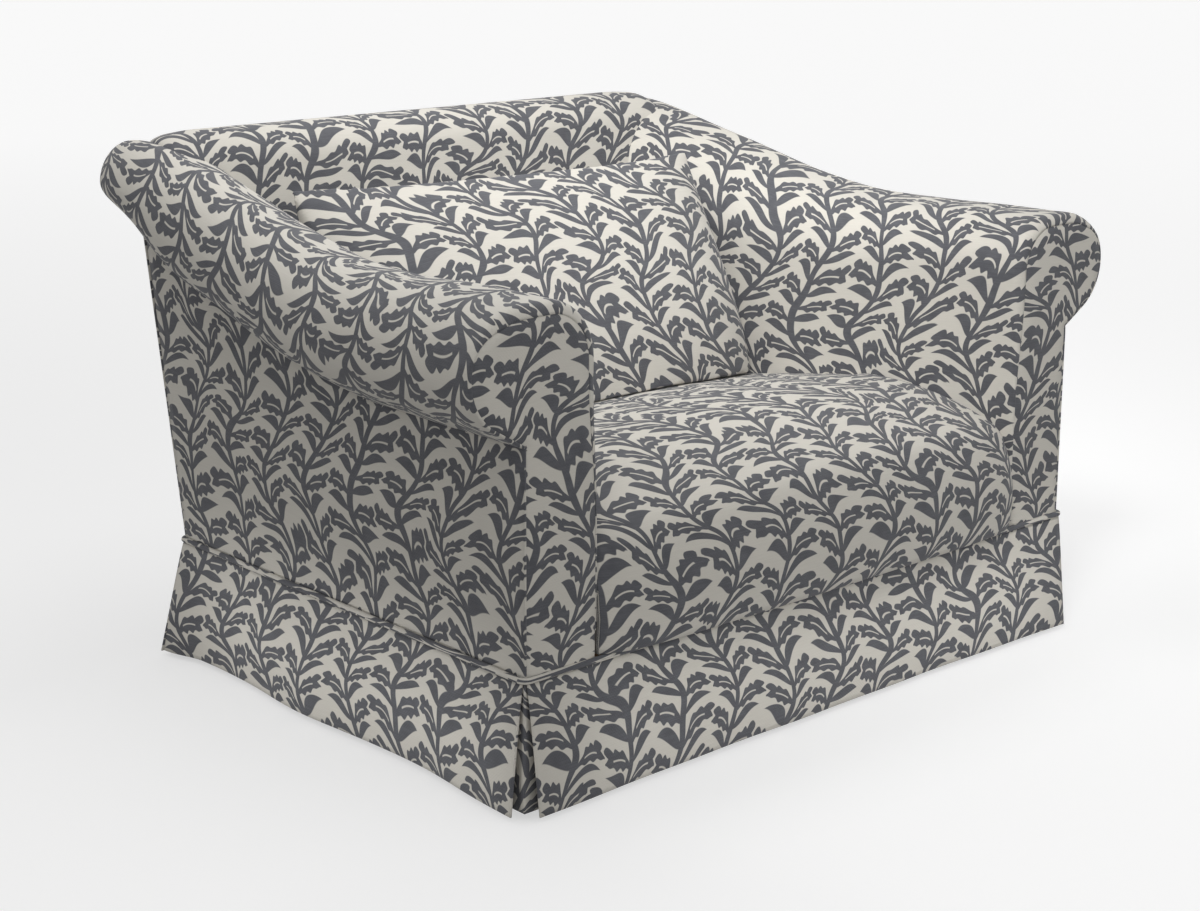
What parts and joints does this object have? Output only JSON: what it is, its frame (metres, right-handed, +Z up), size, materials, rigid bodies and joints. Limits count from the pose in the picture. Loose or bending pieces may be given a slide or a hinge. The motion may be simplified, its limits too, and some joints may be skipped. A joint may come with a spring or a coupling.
{
  "type": "snuggler chair",
  "caption": "Wide skirted armchair with scroll arms that sweep up into a rolled back, a crowned seat, a loose pillow back cushion and kick pleats at the corners.",
  "frame": {"origin": "middle of the footprint on the floor", "axes": "+Z up, the front of the chair faces -Y, +X is on the right of someone who looks at its front"},
  "size_m": [1.3822, 1.0421, 0.84],
  "materials": {
    "printed_cloth": "matte linen weave with a slate two-tone print",
    "filling": "soft foam and fibre",
    "webbing": "woven elastic",
    "hessian": "coarse jute weave",
    "dust_cloth": "thin non-woven",
    "card": "matte board",
    "steel": "zinc plated",
    "nylon": "matte",
    "zip_tape": "nylon coil on woven tape",
    "zip_metal": "satin",
    "stained_wood": "dark stain, satin",
    "plywood": "raw",
    "hardwood": "raw"
  },
  "bodies": {
    "chair": {"arm_cover_left": "printed_cloth", "arm_cover_right": "printed_cloth", "arm_facing_left": "printed_cloth", "arm_facing_right": "printed_cloth", "arm_padding_left": "filling", "arm_padding_right": "filling", "arm_scroll_board_left": "plywood", "arm_scroll_board_right": "plywood", "arm_tack_rail_left": "hardwood", "arm_tack_rail_right": "hardwood", "arm_top_rail_left": "hardwood", "arm_top_rail_right": "hardwood", "back_centre_upright": "hardwood", "back_hessian": "hessian", "back_padding": "filling", "back_side_board_left": "plywood", "back_side_board_right": "plywood", "back_tack_rail": "hardwood", "back_top_rail": "hardwood", "back_webbing": "webbing", "corner_blocks": "hardwood", "corner_pleats": "printed_cloth", "dust_cover": "dust_cloth", "frame_dowels": "hardwood", "front_arm_post_left": "hardwood", "front_arm_post_right": "hardwood", "front_seat_rail": "hardwood", "inside_back_cover": "printed_cloth", "leg_bolts": "steel", "leg_front_left": "stained_wood", "leg_front_right": "stained_wood", "leg_glides": "nylon", "leg_rear_left": "stained_wood", "leg_rear_right": "stained_wood", "leg_tee_nuts": "steel", "outside_arm_cover_left": "printed_cloth", "outside_arm_cover_right": "printed_cloth", "outside_arm_liner_left": "card", "outside_arm_liner_right": "card", "outside_back_cover": "printed_cloth", "rear_arm_post_left": "hardwood", "rear_arm_post_right": "hardwood", "rear_seat_rail": "hardwood", "seat_cover": "printed_cloth", "seat_foam": "filling", "seat_hessian": "hessian", "seat_webbing": "webbing", "side_seat_rail_left": "hardwood", "side_seat_rail_right": "hardwood", "skirt_back": "printed_cloth", "skirt_front": "printed_cloth", "skirt_left": "printed_cloth", "skirt_piping": "printed_cloth", "skirt_right": "printed_cloth"},
    "back_cushion": {"back_cushion_cover": "printed_cloth", "back_cushion_filling": "filling", "cushion_zip_tape": "zip_tape"},
    "zip_slider": {"zip_slider": "zip_metal"}
  },
  "joints": [
    {"name": "cushion_lift", "type": "slide", "parent": "chair", "child": "back_cushion", "axis": [0, 0, 1], "range_m": [0, 0.5]},
    {"name": "zip_slide", "type": "slide", "parent": "back_cushion", "child": "zip_slider", "axis": [1, 0, 0], "range_m": [-0.39, 0]}
  ]
}
